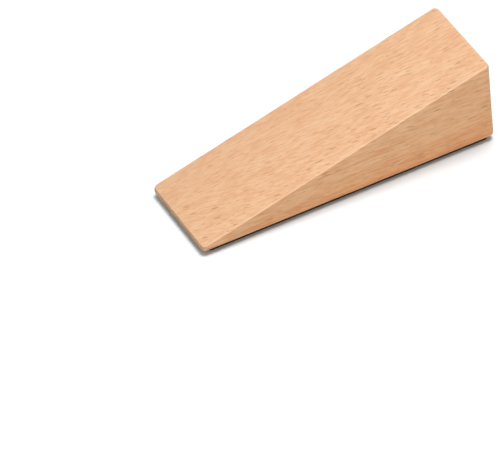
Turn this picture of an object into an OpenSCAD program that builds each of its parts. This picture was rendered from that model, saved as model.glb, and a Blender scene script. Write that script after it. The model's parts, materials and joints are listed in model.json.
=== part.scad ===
// Wooden door wedge with a non-slip pad
//
// A solid beech block that narrows to a thin tip, with a foam-rubber pad stuck
// under it by a double-sided adhesive film. Nothing on it moves.
//
// X runs along the wedge, with the tip at -X and the thick end at +X. Y runs
// across it and Z is up. The origin is the middle of the footprint at floor
// level, so the pad's underside lies at Z = 0.

/* [Block] */
// Length of the block from its thick end to its tip
block_len = 140; // [110:1:170]
// Width of the block
block_w = 47; // [40:1:60]
// Height of the wood at the thick end
block_h = 39; // [28:1:46]
// Height of the wood at the tip
tip_h = 2.5; // [2.5:0.5:5]
// Radius sanded onto the long edges of the top
edge_r = 0.6; // [0.3:0.1:1.2]
// Radius sanded onto the long edges of the underside
base_r = 1.2; // [0.4:0.1:1.5]
// Radius of the upper and the lower edge of the thick end
heel_r = 1.5; // [0.5:0.1:2.5]
// Radius of the upper and the lower edge of the tip
tip_r = 0.8; // [0.4:0.1:1.2]
// Radius of the four upright corners, seen from above
corner_r = 2.2; // [1.5:0.1:4]

/* [Pad] */
// Thickness of the foam-rubber pad
pad_t = 2; // [1:0.5:3]
// Thickness of the adhesive film between the pad and the wood
film_t = 0.2; // [0.1:0.05:0.3]
// Bare wood left along each long side of the pad
side_margin = 2; // [1.5:0.5:4]
// Bare wood left behind the pad at the thick end
heel_margin = 2.5; // [1.5:0.5:6]
// Bare wood left in front of the pad at the tip
tip_margin = 3.5; // [2:0.5:8]
// Radius of the pad's corners
pad_corner_r = 1.5; // [0.5:0.5:4]

/* [Hidden] */
$fn = 96;

// Colours of bare beech, of the brown adhesive and of the black foam
beech_tone = "#eebe95";
adhesive_tone = "#4a3a28";
foam_tone = "#2a2926";

// Levels of the film's underside and of the wood's underside
film_z = pad_t;
wood_z = pad_t + film_t;

// Half sizes of the block
half_len = block_len / 2;
half_w = block_w / 2;

// Angle of the sloping top above the floor
slope = atan((block_h - tip_h) / block_len);

// Length that takes a cutting prism well past the block on every side
reach = 2 * (block_len + block_h);

// The pad and the film share one outline
pad_len = block_len - heel_margin - tip_margin;
pad_w = block_w - 2 * side_margin;
pad_x = (tip_margin - heel_margin) / 2;

// Geometry of the arc that rounds corner i of a convex outline
function unit(v) = v / norm(v);
function side(points, i, step) =
    unit(points[(i + step + len(points)) % len(points)] - points[i]);
function half_angle(points, i) =
    acos(side(points, i, -1) * side(points, i, 1)) / 2;
function arc_end(points, i, step, r) =
    points[i] + side(points, i, step) * r / tan(half_angle(points, i));
function arc_centre(points, i, r) =
    points[i] + unit(side(points, i, -1) + side(points, i, 1)) * r / sin(half_angle(points, i));

// Corners of a rectangle between two opposite points, in order around it
function rectangle(low, high) =
    [low, [high.x, low.y], high, [low.x, high.y]];

// A convex outline whose corners are rounded, each to its own radius
module rounded(points, radii) {
    corners = [0 : len(points) - 1];
    polygon([for (i = corners, step = [-1, 1]) arc_end(points, i, step, radii[i])]);
    for (i = corners)
        translate(arc_centre(points, i, radii[i]))
            circle(r = radii[i]);
}

// A rectangle with all four corners rounded to one radius
module rounded_rectangle(low, high, r) {
    rounded(rectangle(low, high), [r, r, r, r]);
}

// The wedge's side view, drawn in X and Z and swept across the block
module side_view() {
    outline = [[-half_len, 0], [half_len, 0], [half_len, block_h], [-half_len, tip_h]];
    rotate([90, 0, 0])
        linear_extrude(reach, center = true)
            rounded(outline, [tip_r, heel_r, heel_r, tip_r]);
}

// The block seen from above, swept up through its height
module top_view() {
    linear_extrude(reach, center = true)
        rounded_rectangle([-half_len, -half_w], [half_len, half_w], corner_r);
}

// A bar along X as wide as the block, between two heights, with rounded long edges
module long_bar(low, high, r) {
    rotate([90, 0, 90])
        linear_extrude(reach, center = true)
            rounded_rectangle([-half_w, low], [half_w, high], r);
}

// Solid beech block: a level bar rounds the long edges of the underside and a
// sloping bar those of the top, and the two views trim the bars' common part
module wedge_block() {
    color(beech_tone)
        translate([0, 0, wood_z])
            intersection() {
                long_bar(0, reach, base_r);
                translate([half_len, 0, block_h])
                    rotate([0, -slope, 0])
                        long_bar(-reach, 0, edge_r);
                side_view();
                top_view();
            }
}

// The outline that the pad and the film are cut to, given a thickness
module pad_sheet(thickness) {
    translate([pad_x, 0, 0])
        linear_extrude(thickness)
            rounded_rectangle([-pad_len / 2, -pad_w / 2], [pad_len / 2, pad_w / 2], pad_corner_r);
}

// Double-sided adhesive film that holds the pad to the wood
module adhesive_film() {
    color(adhesive_tone)
        translate([0, 0, film_z])
            pad_sheet(film_t);
}

// Foam-rubber pad that grips the floor
module grip_pad() {
    color(foam_tone)
        pad_sheet(pad_t);
}

wedge_block();
adhesive_film();
grip_pad();
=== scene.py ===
import json
import math

import bpy
from mathutils import Matrix, Vector, noise


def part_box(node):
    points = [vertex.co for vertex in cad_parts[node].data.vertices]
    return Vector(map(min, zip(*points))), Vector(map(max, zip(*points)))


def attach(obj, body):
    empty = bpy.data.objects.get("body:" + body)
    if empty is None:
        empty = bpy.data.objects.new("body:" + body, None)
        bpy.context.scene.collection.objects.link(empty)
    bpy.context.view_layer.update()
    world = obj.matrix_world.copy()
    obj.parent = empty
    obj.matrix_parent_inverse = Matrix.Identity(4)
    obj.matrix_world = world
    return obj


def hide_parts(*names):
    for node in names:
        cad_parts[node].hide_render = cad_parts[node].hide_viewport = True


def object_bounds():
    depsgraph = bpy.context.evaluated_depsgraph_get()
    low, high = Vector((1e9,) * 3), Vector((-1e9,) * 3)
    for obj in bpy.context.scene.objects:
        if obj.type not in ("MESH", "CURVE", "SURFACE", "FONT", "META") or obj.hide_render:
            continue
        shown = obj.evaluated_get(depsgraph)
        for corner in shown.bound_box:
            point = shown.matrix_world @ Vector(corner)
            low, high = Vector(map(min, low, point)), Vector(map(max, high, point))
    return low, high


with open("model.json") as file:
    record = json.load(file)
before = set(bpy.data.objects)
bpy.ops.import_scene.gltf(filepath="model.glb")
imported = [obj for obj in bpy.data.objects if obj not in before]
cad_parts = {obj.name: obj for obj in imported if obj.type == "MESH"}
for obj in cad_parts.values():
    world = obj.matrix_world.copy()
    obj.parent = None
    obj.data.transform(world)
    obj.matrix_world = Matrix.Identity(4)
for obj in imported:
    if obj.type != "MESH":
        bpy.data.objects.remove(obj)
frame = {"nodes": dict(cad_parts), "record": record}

# A door wedge of solid beech with a foam-rubber pad under it. The tip is at -X, the thick end at
# +X, and the origin is the middle of the footprint at floor level. Lengths are in metres, and
# those of the materials' patterns in millimetres. Colours are linear.
MM = 0.001
record = frame["record"]
cad_low, cad_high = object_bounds()


# ---------------------------------------------------------------- camera
# The camera stands on the -Y side, toward the tip, and looks down through a long lens.
# The azimuth is counted from -Y, and is negative toward the tip.
VIEW_AZIMUTH = math.radians(-23.42)
VIEW_ELEVATION = math.radians(41.30)
VIEW_ROLL = math.radians(-6.06)
VIEW_DISTANCE = 2.611
LENS_MM = 449.4
SENSOR_MM = 36
CLIP_NEAR = 0.05
CLIP_FAR = 20
# The picture's centre on the floor, from the middle of the wedge, as shares of its length and width.
AIM = (-0.3192, -0.3308)


def make_camera():
    middle = (cad_low + cad_high) / 2
    size = cad_high - cad_low
    aim = Vector((middle.x + AIM[0] * size.x, middle.y + AIM[1] * size.y, cad_low.z))
    flat = math.cos(VIEW_ELEVATION)
    back = Vector((math.sin(VIEW_AZIMUTH) * flat, -math.cos(VIEW_AZIMUTH) * flat, math.sin(VIEW_ELEVATION)))
    right = Vector((0, 0, 1)).cross(back).normalized()
    up = back.cross(right)
    tilted_right = math.cos(VIEW_ROLL) * right + math.sin(VIEW_ROLL) * up
    tilted_up = back.cross(tilted_right)
    lens = bpy.data.cameras.new("camera")
    lens.lens = LENS_MM
    lens.sensor_width = SENSOR_MM
    lens.clip_start = CLIP_NEAR
    lens.clip_end = CLIP_FAR
    camera = bpy.data.objects.new("camera", lens)
    bpy.context.scene.collection.objects.link(camera)
    turn = Matrix((tilted_right, tilted_up, back)).transposed()
    camera.matrix_world = Matrix.Translation(aim + back * VIEW_DISTANCE) @ turn.to_4x4()
    bpy.context.scene.camera = camera


make_camera()


# ---------------------------------------------------------------- node helpers
# The sockets of a Mix node that carry colours.
MIX_FIRST = 6
MIX_SECOND = 7
MIX_RESULT = 2


class Nodes:
    """Adds nodes to one material. The methods that work something out return output sockets."""

    def __init__(self, name):
        self.material = bpy.data.materials.new(name)
        self.material.use_nodes = True
        self.tree = self.material.node_tree
        self.tree.nodes.clear()

    def add(self, kind, **settings):
        node = self.tree.nodes.new(kind)
        for key, value in settings.items():
            setattr(node, key, value)
        return node

    def feed(self, socket, value):
        if isinstance(value, bpy.types.NodeSocket):
            self.tree.links.new(value, socket)
        else:
            socket.default_value = value

    def math(self, operation, *values, clamp=False):
        node = self.add("ShaderNodeMath", operation=operation, use_clamp=clamp)
        for socket, value in zip(node.inputs, values):
            self.feed(socket, value)
        return node.outputs[0]

    def vector(self, operation, *values):
        node = self.add("ShaderNodeVectorMath", operation=operation)
        for socket, value in zip(node.inputs, values):
            self.feed(socket, value)
        return node.outputs["Value" if operation == "DOT_PRODUCT" else "Vector"]

    def combine(self, x, y, z):
        node = self.add("ShaderNodeCombineXYZ")
        for socket, value in zip(node.inputs, (x, y, z)):
            self.feed(socket, value)
        return node.outputs[0]

    def separate(self, vector):
        node = self.add("ShaderNodeSeparateXYZ")
        self.feed(node.inputs[0], vector)
        return node.outputs

    def in_millimetres(self, vector):
        return self.vector("MULTIPLY", vector, (1 / MM, 1 / MM, 1 / MM))

    def place(self):
        """The place on the object, in millimetres."""
        return self.in_millimetres(self.add("ShaderNodeTexCoord").outputs["Object"])

    def over(self, lengths, sizes):
        """Three lengths as one vector, each counted in its own size."""
        return self.combine(*(self.math("DIVIDE", length, size) for length, size in zip(lengths, sizes)))

    def noise(self, vector, scale=1.0, detail=2.0, roughness=0.5):
        node = self.add("ShaderNodeTexNoise")
        for key, value in zip(("Vector", "Scale", "Detail", "Roughness"), (vector, scale, detail, roughness)):
            self.feed(node.inputs[key], value)
        return node.outputs["Fac"]

    def cells(self, vector, scale=1.0):
        """Voronoi cells: the distance to the nearest centre, and three random numbers for the cell."""
        node = self.add("ShaderNodeTexVoronoi")
        self.feed(node.inputs["Vector"], vector)
        node.inputs["Scale"].default_value = scale
        return node.outputs["Distance"], self.separate(node.outputs["Color"])

    def ramp(self, value, low, high, start=0.0, end=1.0, smooth=True):
        """value mapped from low..high to start..end, and held there outside it."""
        node = self.add("ShaderNodeMapRange", interpolation_type="SMOOTHSTEP" if smooth else "LINEAR")
        for key, number in zip(
            ("Value", "From Min", "From Max", "To Min", "To Max"), (value, low, high, start, end)
        ):
            self.feed(node.inputs[key], number)
        return node.outputs[0]

    def mix(self, share, first, second, blend="MIX"):
        node = self.add("ShaderNodeMix", data_type="RGBA", blend_type=blend)
        self.feed(node.inputs["Factor"], share)
        self.feed(node.inputs[MIX_FIRST], first)
        self.feed(node.inputs[MIX_SECOND], second)
        return node.outputs[MIX_RESULT]

    def bump(self, height, distance, strength):
        node = self.add("ShaderNodeBump")
        self.feed(node.inputs["Height"], height)
        node.inputs["Distance"].default_value = distance
        node.inputs["Strength"].default_value = strength
        return node.outputs[0]

    def surface(self, **inputs):
        """Ends the material in one shader, and returns the material."""
        shader = self.add("ShaderNodeBsdfPrincipled")
        for key, value in inputs.items():
            self.feed(shader.inputs[key.replace("_", " ")], value)
        out = self.add("ShaderNodeOutputMaterial")
        self.tree.links.new(shader.outputs[0], out.inputs["Surface"])
        return self.material


# ---------------------------------------------------------------- beech
# In each ramp of a pattern, the first two numbers are the values between which it comes in.
# The values of a plain noise lie mostly between these.
NOISE_SPAN = (0.3, 0.7)

# The fibres lie level and run very slightly askew of the wedge's length.
GRAIN_SKEW = math.radians(-1.5)
ALONG_GRAIN = (math.cos(GRAIN_SKEW), math.sin(GRAIN_SKEW), 0)
ACROSS_GRAIN = (-math.sin(GRAIN_SKEW), math.cos(GRAIN_SKEW), 0)
# The tree's centre line, from the middle of the block: across it and above it.
PITH = (38.0, -46.0)

# A slow wander keeps the fibres and the rings from being dead straight: how many of its waves
# go into a millimetre along X, Y and Z, and how far it moves them across and up.
WANDER_WAVES = (0.012, 0.03, 0.03)
WANDER_ACROSS = 5.0
WANDER_UP = -4.0

# Width of a growth ring, the shares of it where the late wood starts and is darkest, and how many
# rings' widths it wavers by, over what lengths along the fibre and outward from the pith.
RING_WIDTH = 3.1
LATE_WOOD_STARTS = 0.25
LATE_WOOD_PEAKS = 0.93
RING_WAVER = 2.2
RING_WAVER_SIZE = (250.0, 6.25)

# Sizes of the patterns: along the fibre, outward from the pith and round it.
PATCH_SIZE = (26.0, 5.0, 5.0)
DULL_PATCH_SIZE = (15.0, 7.0, 7.0)
STREAK_SIZE = (10.0, 2.4, 0.58)
LONG_FLECK_SIZE = (9.0, 4.5, 0.75)
SHORT_FLECK_SIZE = (5.0, 2.5, 0.48)
END_RAY_SIZE = (3.0, 12.0, 0.34)
PORE_SIZE = (12.0, 0.28, 0.28)

# Radius of the largest fleck, as a share of its cell, and of the smallest as a share of that.
LONG_FLECK_REACH = 0.30
SHORT_FLECK_REACH = 0.32
SMALLEST_FLECK = 0.6
# Strength of the faintest fleck, and the share of a fleck's radius over which its rim fades.
FAINTEST_FLECK = 0.15
FLECK_RIM = 0.4

PALE_BEECH = (0.80, 0.512, 0.31, 1)
DEEP_BEECH = (0.64, 0.28, 0.12, 1)
FLECK_BROWN = (0.38, 0.12, 0.02, 1)
# Colour of the painted highlight on the rounded upper edges.
ARRIS_HIGHLIGHT = (0.93, 0.64, 0.42, 1)
END_PALE = (0.60, 0.355, 0.195, 1)
END_DEEP = (0.36, 0.185, 0.085, 1)
END_RAY_PALE = (0.74, 0.50, 0.31, 1)

# How far each pattern takes a long face's colour toward its own, where it is strongest.
PATCH_DEPTH = 0.28
RING_DEPTH = 0.12
STREAK_DEPTH = 0.66
DULL_DEPTH = 0.60
SHORT_FLECK_DEPTH = 0.50
LONG_FLECK_DEPTH = 0.66
# Strength of the painted highlight on the rounded upper edges.
ARRIS_DEPTH = 0.35
# What patches, rings and streaks together are multiplied by, and how much more on the flanks.
CONTRAST = 0.55
FLANK_CONTRAST = 0.15

# How far each takes the end grain's colour, and the power that thins its rings.
END_RING_DEPTH = 0.40
END_PORE_DEPTH = 0.30
END_PATCH_DEPTH = 0.25
END_RAY_DEPTH = 0.40
RING_THINNING = 2.5

# Heights of the patterns, as shares of the relief's full depth, and the relief itself.
STREAK_HEIGHT = 0.45
LONG_FLECK_HEIGHT = -0.35
SHORT_FLECK_HEIGHT = -0.18
PORE_HEIGHT = -0.5
WOOD_RELIEF = 0.06 * MM
WOOD_RELIEF_STRENGTH = 0.6

# Roughness of the smoothest and the roughest streak, how much rougher the end grain is, and the
# wood's specular level.
WOOD_ROUGHNESS = (0.50, 0.62)
END_ROUGHER = 0.16
WOOD_SHINE = 0.35

# Tints that the wood's colour is multiplied by.
DULL_TINT = (0.97, 0.93, 0.89, 1)
# On the flanks: partly the wood's own colour across the grain, partly painted shade.
FLANK_TONE_AND_SHADE = (1.0, 0.935, 0.825, 1)
# Painted shade, darker toward the base of the flanks.
BASE_SHADE_TINT = (0.965, 0.835, 0.70, 1)

# Painted light: the wood is lighter toward the thick end and the -Y side, and darker toward the tip and
# the +Y side, along a slanting line. How many millimetres along the fibre count as much as one
# toward -Y, where the line starts and ends, and what the colour is multiplied by at its ends.
PALING_SLANT = 2.5
PALING_SPAN = (-110.0, 60.0)
PALING_RANGE = (0.935, 1.035)

# Share of a flank's height up to which painted shade darkens it toward the base.
BASE_SHADE_TOP = 0.62

# How far a face points along the fibre as it turns from long to end grain, and how far up or down
# as it turns from flank to top. Between the two pairs of the last, it is a rounded upper edge.
END_TURN = (0.35, 0.85)
FLANK_TURN = (0.25, 0.85)
ARRIS_TURN = ((0.45, 0.62), (0.935, 0.96))


def wood_space(n, place, block_middle):
    """Along the fibres, outward from the pith and round it, in millimetres."""
    millimetres = n.in_millimetres(n.vector("SUBTRACT", place, tuple(block_middle)))
    along = n.vector("DOT_PRODUCT", millimetres, ALONG_GRAIN)
    across = n.vector("DOT_PRODUCT", millimetres, ACROSS_GRAIN)
    height = n.separate(millimetres)[2]
    wander = n.noise(n.vector("MULTIPLY", millimetres, WANDER_WAVES), detail=1.0)
    across = n.math("ADD", n.math("SUBTRACT", across, PITH[0]), n.math("MULTIPLY", wander, WANDER_ACROSS))
    height = n.math("ADD", n.math("SUBTRACT", height, PITH[1]), n.math("MULTIPLY", wander, WANDER_UP))
    outward = n.math("SQRT", n.math("ADD", n.math("POWER", across, 2.0), n.math("POWER", height, 2.0)))
    mean_radius = math.hypot(*PITH)
    around = n.math("MULTIPLY", n.math("ARCTAN2", height, across), mean_radius)
    return along, outward, around


def growth_rings(n, space):
    """Late wood: 0 in the early part of each ring, and up to 1 in a thin line near its end."""
    waver = n.noise(n.over(space[:2] + (0.0,), RING_WAVER_SIZE + (1.0,)), detail=1.0)
    rings_out = n.math("DIVIDE", space[1], RING_WIDTH)
    ring = n.math("FRACT", n.math("ADD", rings_out, n.math("MULTIPLY", waver, RING_WAVER)))
    rise = n.ramp(ring, LATE_WOOD_STARTS, LATE_WOOD_PEAKS)
    fall = n.ramp(ring, LATE_WOOD_PEAKS, 1.0, 1.0, 0.0)
    return n.math("MULTIPLY", rise, fall)


def flecks(n, space, size, reach):
    """Cut-through rays: thin ribbons that run along the fibre and outward from the pith.
    0 between them and up to 1 at their middles."""
    distance, chance = n.cells(n.over(space, size))
    radius = n.ramp(chance[0], 0.0, 1.0, reach * SMALLEST_FLECK, reach, smooth=False)
    inside = n.math("SUBTRACT", 1.0, n.math("DIVIDE", distance, radius), clamp=True)
    strength = n.ramp(chance[1], 0.0, 1.0, FAINTEST_FLECK, 1.0, smooth=False)
    return n.math("MULTIPLY", n.ramp(inside, 0.0, FLECK_RIM), strength)


class Grain:
    """The patterns of the wood, each as a socket from 0 to 1. They fill the solid block, so that
    the faces that cut it agree with each other."""

    def __init__(self, n, space):
        self.late_wood = growth_rings(n, space)
        self.patches = n.noise(n.over(space, PATCH_SIZE))
        self.dull_patches = n.noise(n.over(space, DULL_PATCH_SIZE), detail=1.0)
        self.streaks = n.noise(n.over(space, STREAK_SIZE), roughness=0.6)
        self.long_flecks = flecks(n, space, LONG_FLECK_SIZE, LONG_FLECK_REACH)
        self.short_flecks = flecks(n, space, SHORT_FLECK_SIZE, SHORT_FLECK_REACH)
        self.end_rays = n.noise(n.over(space, END_RAY_SIZE))
        pore_distance, _ = n.cells(n.over(space, PORE_SIZE))
        self.pores = n.ramp(pore_distance, 0.12, 0.3, 1.0, 0.0)


def long_grain_colour(n, grain, flank):
    """The faces cut along the fibre: soft patches, rings, fibre streaks and ray flecks."""
    patches = n.ramp(grain.patches, *NOISE_SPAN, 0.0, PATCH_DEPTH)
    rings = n.math("MULTIPLY", grain.late_wood, RING_DEPTH)
    streaks = n.ramp(grain.streaks, 0.36, 0.64, 0.0, STREAK_DEPTH)
    contrast = n.math("ADD", n.math("MULTIPLY", flank, FLANK_CONTRAST), CONTRAST)
    depth = n.math("ADD", n.math("ADD", patches, rings), streaks)
    colour = n.mix(n.math("MULTIPLY", depth, contrast, clamp=True), PALE_BEECH, DEEP_BEECH)
    dullness = n.ramp(grain.dull_patches, 0.35, 0.7, 0.0, DULL_DEPTH)
    colour = n.mix(dullness, colour, DULL_TINT, "MULTIPLY")
    colour = n.mix(n.math("MULTIPLY", grain.short_flecks, SHORT_FLECK_DEPTH), colour, FLECK_BROWN)
    return n.mix(n.math("MULTIPLY", grain.long_flecks, LONG_FLECK_DEPTH), colour, FLECK_BROWN)


def end_grain_colour(n, grain):
    """The two ends: darker, with thin rings, open pores and pale rays that run outward."""
    rings = n.math("MULTIPLY", n.math("POWER", grain.late_wood, RING_THINNING), END_RING_DEPTH)
    pores = n.math("MULTIPLY", grain.pores, END_PORE_DEPTH)
    patches = n.ramp(grain.patches, *NOISE_SPAN, 0.0, END_PATCH_DEPTH)
    depth = n.math("ADD", n.math("ADD", rings, pores), patches, clamp=True)
    colour = n.mix(depth, END_PALE, END_DEEP)
    return n.mix(n.ramp(grain.end_rays, 0.52, 0.66, 0.0, END_RAY_DEPTH), colour, END_RAY_PALE)


def painted_arris_highlight(n, colour, upward):
    """Painted highlight: the rounded upper edges are lightened where they catch the light."""
    above_flank = n.ramp(upward, *ARRIS_TURN[0])
    below_top = n.ramp(upward, *ARRIS_TURN[1], 1.0, 0.0)
    arris = n.math("MULTIPLY", above_flank, below_top)
    return n.mix(n.math("MULTIPLY", arris, ARRIS_DEPTH), colour, ARRIS_HIGHLIGHT)


def painted_light_falloff(n, colour, along, y):
    """Painted light: the long faces are lighter toward the thick end and the -Y side, darker toward the tip.
    """
    slant = n.math("SUBTRACT", along, n.math("MULTIPLY", y, PALING_SLANT / MM))
    paling = n.ramp(slant, *PALING_SPAN, *PALING_RANGE, smooth=False)
    return n.mix(1.0, colour, n.combine(paling, paling, paling), "MULTIPLY")


def flank_tone_and_shade(n, colour, flank, share_up):
    """The flanks are warmer and darker than the top, partly the wood's own colour and partly painted shade,
    and painted shade deepens them toward the base.
    """
    colour = n.mix(flank, colour, FLANK_TONE_AND_SHADE, "MULTIPLY")
    # Painted shade toward the base.
    base_shade = n.math("MULTIPLY", n.ramp(share_up, 0.0, BASE_SHADE_TOP, 1.0, 0.0), flank)
    return n.mix(base_shade, colour, BASE_SHADE_TINT, "MULTIPLY")


def wood_relief(n, grain, end):
    """Raised streaks and sunken flecks, and open pores in the end grain."""
    relief = n.math("MULTIPLY", grain.streaks, STREAK_HEIGHT)
    relief = n.math("ADD", relief, n.math("MULTIPLY", grain.long_flecks, LONG_FLECK_HEIGHT))
    relief = n.math("ADD", relief, n.math("MULTIPLY", grain.short_flecks, SHORT_FLECK_HEIGHT))
    return n.math("ADD", relief, n.math("MULTIPLY", n.math("MULTIPLY", grain.pores, end), PORE_HEIGHT))


def beech(block_middle, base_z, slope):
    """slope holds the sloping face's height above the base at the block's middle, and its rise."""
    n = Nodes("beech")
    coordinates = n.add("ShaderNodeTexCoord")
    place, normal = coordinates.outputs["Object"], coordinates.outputs["Normal"]
    x, y, z = n.separate(place)
    space = wood_space(n, place, block_middle)
    grain = Grain(n, space)

    # How squarely a face cuts the fibres: 0 on the long faces, 1 on the ends.
    end = n.ramp(n.math("ABSOLUTE", n.vector("DOT_PRODUCT", normal, ALONG_GRAIN)), *END_TURN)
    # How upright a face is: 0 on the top and the underside, 1 on the flanks and the ends.
    upward = n.separate(normal)[2]
    flank = n.ramp(n.math("ABSOLUTE", upward), *FLANK_TURN, 1.0, 0.0)
    # How far up the block a point is, as a share of the block's height there.
    run = n.math("SUBTRACT", x, block_middle.x)
    full_height = n.math("ADD", n.math("MULTIPLY", run, slope[1]), slope[0])
    share_up = n.math("DIVIDE", n.math("SUBTRACT", z, base_z), full_height)

    colour = long_grain_colour(n, grain, flank)
    # Painted highlight on the rounded upper edges.
    colour = painted_arris_highlight(n, colour, upward)
    # Painted light falloff across the long faces.
    colour = painted_light_falloff(n, colour, space[0], y)
    # Flank colour with painted shade, and painted shade toward the base.
    colour = flank_tone_and_shade(n, colour, flank, share_up)
    colour = n.mix(end, colour, end_grain_colour(n, grain))

    streaky = n.ramp(grain.streaks, *NOISE_SPAN, *WOOD_ROUGHNESS)
    return n.surface(
        Base_Color=colour,
        Roughness=n.math("ADD", streaky, n.math("MULTIPLY", end, END_ROUGHER)),
        Specular_IOR_Level=WOOD_SHINE,
        Normal=n.bump(wood_relief(n, grain, end), WOOD_RELIEF, WOOD_RELIEF_STRENGTH),
    )


# ---------------------------------------------------------------- foam rubber and adhesive
# Foam: how many blotches, mottles, grains, pores and specks go into a millimetre.
BLOTCH_SCALE = 0.09
MOTTLE_SCALE = 0.42
GRAIN_SCALE = 1.1
PORE_SCALE = 1.15
SPECK_SCALE = 0.42

FOAM_BLACK = (0.0068, 0.0068, 0.0062, 1)
FOAM_BLOTCH = (0.0085, 0.0084, 0.0077, 1)
FOAM_MOTTLE = (0.017, 0.0168, 0.0156, 1)
FOAM_GRAIN = (0.027, 0.0268, 0.025, 1)
FOAM_PORE = (0.0028, 0.0028, 0.0026, 1)
FOAM_SPECK = (0.13, 0.13, 0.12, 1)

# How far each pattern takes the foam's colour toward its own, where it is strongest.
MOTTLE_DEPTH = 0.8
GRAIN_DEPTH = 0.8
FOAM_PORE_DEPTH = 0.75
SPECK_DEPTH = 0.7

GRAIN_HEIGHT = 0.9
FOAM_RELIEF = 0.16 * MM
FOAM_RELIEF_STRENGTH = 0.9
FOAM_ROUGHNESS = (0.80, 0.94)
FOAM_SHINE = 0.12

# Adhesive: smears to a millimetre, and fibres to a millimetre along X, Y and Z.
SMEAR_SCALE = 0.4
CARRIER_FIBRES = (0.6, 4.0, 4.0)

GLUE_BROWN = (0.050, 0.034, 0.020, 1)
GLUE_SMEAR = (0.090, 0.062, 0.036, 1)
CARRIER_TAN = (0.15, 0.11, 0.07, 1)
CARRIER_DEPTH = 0.4

GLUE_RELIEF = 0.05 * MM
GLUE_RELIEF_STRENGTH = 0.5
GLUE_ROUGHNESS = (0.28, 0.5)


def foam_rubber():
    n = Nodes("foam_rubber")
    place = n.place()
    blotches = n.noise(place, BLOTCH_SCALE)
    mottle = n.noise(place, MOTTLE_SCALE, detail=3.0, roughness=0.65)
    grain = n.noise(place, GRAIN_SCALE, detail=3.0, roughness=0.7)
    pore_distance, _ = n.cells(place, PORE_SCALE)
    pores = n.ramp(pore_distance, 0.12, 0.40, 1.0, 0.0)
    speck_distance, speck_chance = n.cells(place, SPECK_SCALE)
    speck_core = n.ramp(speck_distance, 0.06, 0.13, 1.0, 0.0)
    specks = n.math("MULTIPLY", speck_core, n.ramp(speck_chance[0], 0.5, 0.9))
    colour = n.mix(n.ramp(blotches, 0.35, 0.65), FOAM_BLACK, FOAM_BLOTCH)
    colour = n.mix(n.ramp(mottle, 0.36, 0.68, 0.0, MOTTLE_DEPTH), colour, FOAM_MOTTLE)
    colour = n.mix(n.ramp(grain, 0.42, 0.66, 0.0, GRAIN_DEPTH), colour, FOAM_GRAIN)
    colour = n.mix(n.math("MULTIPLY", pores, FOAM_PORE_DEPTH), colour, FOAM_PORE)
    colour = n.mix(n.math("MULTIPLY", specks, SPECK_DEPTH), colour, FOAM_SPECK)
    relief = n.math("SUBTRACT", n.math("MULTIPLY", grain, GRAIN_HEIGHT), pores)
    return n.surface(
        Base_Color=colour,
        Roughness=n.ramp(grain, *NOISE_SPAN, *FOAM_ROUGHNESS),
        Specular_IOR_Level=FOAM_SHINE,
        Normal=n.bump(relief, FOAM_RELIEF, FOAM_RELIEF_STRENGTH),
    )


def adhesive():
    n = Nodes("adhesive")
    place = n.place()
    smears = n.noise(place, SMEAR_SCALE, detail=4.0, roughness=0.6)
    fibres = n.noise(n.vector("MULTIPLY", place, CARRIER_FIBRES))
    colour = n.mix(n.ramp(smears, 0.35, 0.65), GLUE_BROWN, GLUE_SMEAR)
    colour = n.mix(n.ramp(fibres, 0.5, 0.75, 0.0, CARRIER_DEPTH), colour, CARRIER_TAN)
    return n.surface(
        Base_Color=colour,
        Roughness=n.ramp(smears, *NOISE_SPAN, *GLUE_ROUGHNESS),
        Normal=n.bump(smears, GLUE_RELIEF, GLUE_RELIEF_STRENGTH),
    )


# ---------------------------------------------------------------- meshes
# Rows of faces round each rounded edge, and the lines from there to the even grid, as shares of
# the way. The way ends at the upright corner's radius, or at SPREAD_REACH edge radii if they
# are more.
EDGE_ROWS = 7
SPREAD = (0.15, 0.4, 0.7, 1.0)
SPREAD_REACH = 1.6
# Share by which an edge's rounding wavers, and over what length.
EDGE_WAVER = 0.12
EDGE_WAVER_LENGTH = 14 * MM


def edge_steps(radius, count):
    """Distances in from an edge that space a rounding's rings evenly round its arc."""
    return [radius * (1 - math.cos(math.pi / 2 * k / count)) for k in range(count + 1)]


def grid_lines(half, low_radius, high_radius, corner, spacing):
    """Places from -half to half, close together over the rounding at both ends."""
    ends = []
    for radius in (low_radius, high_radius):
        steps = edge_steps(radius, EDGE_ROWS)
        beyond = max(corner, radius * SPREAD_REACH)
        steps += [radius + (beyond - radius) * share for share in SPREAD]
        ends.append(steps)
    first, last = -half + ends[0][-1], half - ends[1][-1]
    count = max(2, round((last - first) / spacing))
    middle = [first + (last - first) * k / count for k in range(1, count)]
    return [-half + s for s in ends[0]] + middle + [half - s for s in reversed(ends[1])]


def into_corner(x, y, half_x, half_y, corner):
    """Moves a point of a rectangle so that the square corners become arcs.
    Gives the point and its distance in from the outline."""
    a = (abs(x) - (half_x - corner)) / corner
    b = (abs(y) - (half_y - corner)) / corner
    if a <= 0 or b <= 0:
        return x, y, min(half_x - abs(x), half_y - abs(y))
    round_a, round_b = a * math.sqrt(1 - b * b / 2), b * math.sqrt(1 - a * a / 2)
    new_x = math.copysign(half_x - corner + corner * round_a, x)
    new_y = math.copysign(half_y - corner + corner * round_b, y)
    return new_x, new_y, corner * (1 - math.hypot(round_a, round_b))


def drop(inset, radius):
    """How far a rounded edge has fallen below the face, at a distance in from the side."""
    if inset >= radius:
        return 0.0
    return radius - math.sqrt(max(0.0, radius**2 - (radius - inset) ** 2))


def edge_radius(x, y, half_x, half_y, corner, radii):
    """The edge rounding nearest x, y. radii holds those of the -X end, the +X end and the long
    sides, and the rounding changes smoothly from one to the next round an upright corner."""
    end = radii[0] if x < 0 else radii[1]
    a = max(0.0, abs(x) - (half_x - corner))
    b = max(0.0, abs(y) - (half_y - corner))
    turn = math.atan2(a, b) / (math.pi / 2) if a + b > 0 else 0.0
    share = turn * turn * (3 - 2 * turn)
    return radii[2] + (end - radii[2]) * share


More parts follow.
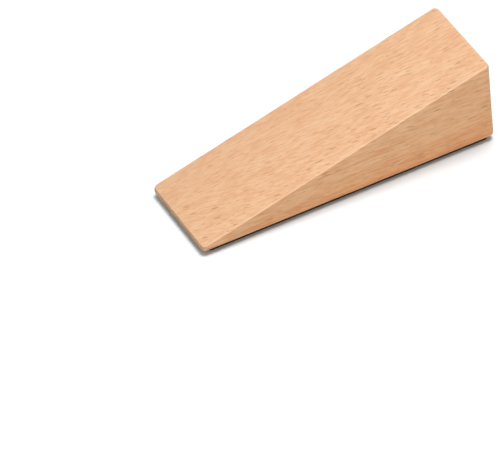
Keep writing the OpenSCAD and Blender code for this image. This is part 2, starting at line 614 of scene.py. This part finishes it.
def rounded_slab(name, middle, half_x, half_y, corner, top, bottom, spacing, walls, shift):
    """A closed solid between two faces over a rounded rectangle, with every edge rounded.
    top and bottom each hold a height at x, y and the roundings that edge_radius chooses from;
    shift moves a finished point a little, as wear or unevenness."""
    points, faces = [], []

    def face_grid(height, radii, side):
        """Adds the upper face for side 1 or the lower for -1, and gives the ring of its rim."""
        xs = grid_lines(half_x, radii[0], radii[1], corner, spacing)
        ys = grid_lines(half_y, radii[2], radii[2], corner, spacing)
        rows = []
        for x in xs:
            row = []
            for y in ys:
                px, py, inset = into_corner(x, y, half_x, half_y, corner)
                spot = Vector((middle.x + px, middle.y + py, height(px, py)))
                radius = edge_radius(px, py, half_x, half_y, corner, radii)
                radius *= 1 + EDGE_WAVER * noise.noise(spot / EDGE_WAVER_LENGTH)
                spot.z -= side * drop(inset, radius)
                row.append(len(points))
                points.append(spot)
            rows.append(row)
        for i in range(len(xs) - 1):
            for j in range(len(ys) - 1):
                quad = (rows[i][j], rows[i + 1][j], rows[i + 1][j + 1], rows[i][j + 1])
                faces.append(quad if side > 0 else quad[::-1])
        last_x, last_y = len(xs) - 1, len(ys) - 1
        rim = [rows[i][0] for i in range(last_x)] + [rows[last_x][j] for j in range(last_y)]
        rim += [rows[i][last_y] for i in range(last_x, 0, -1)] + [rows[0][j] for j in range(last_y, 0, -1)]
        return rim

    upper = face_grid(*top, 1)
    lower = face_grid(*bottom, -1)
    rings = [lower]
    for level in range(1, walls):
        ring = []
        for a, b in zip(lower, upper):
            ring.append(len(points))
            points.append(points[a].lerp(points[b], level / walls))
        rings.append(ring)
    rings.append(upper)
    count = len(lower)
    for below, above in zip(rings, rings[1:]):
        for k in range(count):
            after = (k + 1) % count
            faces.append((below[k], below[after], above[after], above[k]))
    mesh = bpy.data.meshes.new(name)
    mesh.from_pydata([shift(p) for p in points], [], faces)
    mesh.update()
    mesh.shade_smooth()
    piece = bpy.data.objects.new(name, mesh)
    bpy.context.scene.collection.objects.link(piece)
    return piece


# ---------------------------------------------------------------- block
# The roundings are those of the CAD or a hair larger. Each group holds the tip's, the thick
# end's and the long edges'.
BLOCK_CORNER = 2.3 * MM
BLOCK_TOP_RADII = (0.8 * MM, 1.6 * MM, 0.65 * MM)
BLOCK_BASE_RADII = (0.8 * MM, 1.6 * MM, 1.2 * MM)
BLOCK_SPACING = 1.1 * MM
BLOCK_WALL_RINGS = 24
# How deep the sanding goes at most, over what length that varies, and how much each of X, Y and
# Z counts in its direction.
SANDING_DEPTH = 0.035 * MM
SANDING_LENGTH = 11 * MM
SANDING_WEIGHTS = (0.05, 0.2, 0.2)


def sloping_top():
    """The height of the block's sloping face at x, from the mount that lies on it."""
    mount = next(m for m in record["mounts"] if m["name"] == "door_face")
    at, normal = Vector(mount["pos_m"]), Vector(mount["axis"])
    return lambda x: at.z - (x - at.x) * normal.x / normal.z


def make_block():
    low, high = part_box("wedge_block")
    middle, half = (low + high) / 2, (high - low) / 2
    slope = sloping_top()

    def sanded(spot):
        """Belt sanding leaves the faces very slightly uneven: each point moves a hair toward the
        block's middle, and none rises above the block's box."""
        inward = (middle - spot) * Vector(SANDING_WEIGHTS)
        depth = 0.5 + 0.5 * noise.noise(spot / SANDING_LENGTH)
        worn = spot + inward.normalized() * SANDING_DEPTH * depth
        worn.z = min(worn.z, high.z)
        return worn

    block = rounded_slab(
        "block", middle, half.x, half.y, BLOCK_CORNER,
        (lambda x, y: slope(middle.x + x), BLOCK_TOP_RADII),
        (lambda x, y: low.z, BLOCK_BASE_RADII),
        BLOCK_SPACING, BLOCK_WALL_RINGS, sanded,
    )
    rise = (slope(high.x) - slope(low.x)) / (high.x - low.x)
    block.data.materials.append(beech(middle, low.z, (slope(middle.x) - low.z, rise)))
    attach(block, "root")
    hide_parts("wedge_block")


# ---------------------------------------------------------------- pad and film
PAD_CORNER = 1.5 * MM
PAD_RADII = (0.3 * MM, 0.3 * MM, 0.3 * MM)
PAD_SPACING = 0.9 * MM
PAD_WALL_RINGS = 8
# How far the pad's sides bow in, how deep its underside is pitted, and over what length both vary.
PAD_WAIST = 0.06 * MM
PAD_PIT_DEPTH = 0.03 * MM
PAD_RIPPLE_LENGTH = 3 * MM
# Share of the pad's thickness, from below, that the pits take in.
PITTED_SHARE = 0.4


def make_pad():
    low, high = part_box("grip_pad")
    middle, half = (low + high) / 2, (high - low) / 2

    def springy(spot):
        """The cut foam's sides bow in a hair, and its underside is pitted."""
        level = (spot.z - low.z) / (high.z - low.z)
        waist = math.sin(math.pi * level) * PAD_WAIST
        inward = Vector((middle.x - spot.x, middle.y - spot.y, 0)).normalized()
        ripple = 0.5 + 0.5 * noise.noise(spot / PAD_RIPPLE_LENGTH)
        lift = Vector((0, 0, PAD_PIT_DEPTH * ripple if level < PITTED_SHARE else 0.0))
        return spot + inward * waist * ripple + lift

    pad = rounded_slab(
        "pad", middle, half.x, half.y, PAD_CORNER,
        (lambda x, y: high.z, PAD_RADII),
        (lambda x, y: low.z, PAD_RADII),
        PAD_SPACING, PAD_WALL_RINGS, springy,
    )
    pad.data.materials.append(foam_rubber())
    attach(pad, "root")
    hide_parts("grip_pad")


def finish_film():
    film = frame["nodes"]["adhesive_film"]
    film.data.materials.clear()
    film.data.materials.append(adhesive())


make_block()
make_pad()
finish_film()


# ---------------------------------------------------------------- floor and light
FLOOR_HALF = 12.0
PAPER_CLOUD_SCALE = 3.0
PAPER_SHADE = (0.835, 0.89, 0.92, 1)
PAPER_PALE = (0.85, 0.905, 0.935, 1)
PAPER_ROUGHNESS = 0.9
PAPER_SHINE = 0.1

# Directions point from the object toward the light.
KEY_TOWARD = (0.17, 0.03, 1.0)
KEY_ANGLE = math.radians(25)
KEY_STRENGTH = 2.45
FILL_TOWARD = (-0.1, -1.0, 0.04)
FILL_DISTANCE = 1.2
FILL_SIZE = 0.22
FILL_WATTS = 2.7

# Brightness of the studio's walls at eye level, of its ceiling, and of a band at the horizon
# that fades out at this height, as the sine of its elevation.
WALL_LIGHT = 0.04
CEILING_LIGHT = 0.64
HORIZON_LIGHT = 1.0
HORIZON_BAND = 0.03


def make_floor():
    mesh = bpy.data.meshes.new("floor")
    corners = [(FLOOR_HALF * x, FLOOR_HALF * y, cad_low.z) for x, y in ((-1, -1), (1, -1), (1, 1), (-1, 1))]
    mesh.from_pydata(corners, [], [(0, 1, 2, 3)])
    floor = bpy.data.objects.new("floor", mesh)
    bpy.context.scene.collection.objects.link(floor)
    n = Nodes("paper_floor")
    cloud = n.noise(n.add("ShaderNodeTexCoord").outputs["Object"], PAPER_CLOUD_SCALE)
    paper = n.mix(n.ramp(cloud, *NOISE_SPAN), PAPER_SHADE, PAPER_PALE)
    n.surface(Base_Color=paper, Roughness=PAPER_ROUGHNESS, Specular_IOR_Level=PAPER_SHINE)
    mesh.materials.append(n.material)


def add_light(name, kind, toward, distance=0.0):
    """A lamp that shines on the origin from a direction. Gives the lamp's settings."""
    lamp = bpy.data.lights.new(name, kind)
    light = bpy.data.objects.new(name, lamp)
    bpy.context.scene.collection.objects.link(light)
    direction = Vector(toward).normalized()
    light.location = direction * distance
    light.rotation_mode = "QUATERNION"
    light.rotation_quaternion = direction.to_track_quat("Z", "Y")
    return lamp


def make_lights():
    # A far softbox overhead, which fills the same angle, and is as bright, all over the floor.
    key = add_light("key", "SUN", KEY_TOWARD)
    key.angle = KEY_ANGLE
    key.energy = KEY_STRENGTH
    # A low round lamp in front of the -Y flank.
    fill = add_light("fill", "AREA", FILL_TOWARD, FILL_DISTANCE)
    fill.shape = "DISK"
    fill.size = FILL_SIZE
    fill.energy = FILL_WATTS


def make_world():
    """A white studio: dim walls that brighten toward the ceiling, and a bright band at the horizon."""
    world = bpy.data.worlds.new("studio")
    world.use_nodes = True
    tree = world.node_tree
    coordinates = tree.nodes.new("ShaderNodeTexCoord")
    parts = tree.nodes.new("ShaderNodeSeparateXYZ")
    brightest = tree.nodes.new("ShaderNodeMath")
    brightest.operation = "MAXIMUM"
    tree.links.new(coordinates.outputs["Generated"], parts.inputs[0])
    fades = ((1.0, WALL_LIGHT, CEILING_LIGHT), (HORIZON_BAND, HORIZON_LIGHT, 0.0))
    for k, (top, start, end) in enumerate(fades):
        fade = tree.nodes.new("ShaderNodeMapRange")
        tree.links.new(parts.outputs[2], fade.inputs["Value"])
        fade.inputs["From Max"].default_value = top
        fade.inputs["To Min"].default_value = start
        fade.inputs["To Max"].default_value = end
        tree.links.new(fade.outputs[0], brightest.inputs[k])
    background = tree.nodes["Background"]
    background.inputs["Color"].default_value = (1, 1, 1, 1)
    tree.links.new(brightest.outputs[0], background.inputs["Strength"])
    bpy.context.scene.world = world


make_floor()
make_lights()
make_world()
bpy.context.scene.view_settings.view_transform = "Standard"

bpy.context.view_layer.update()
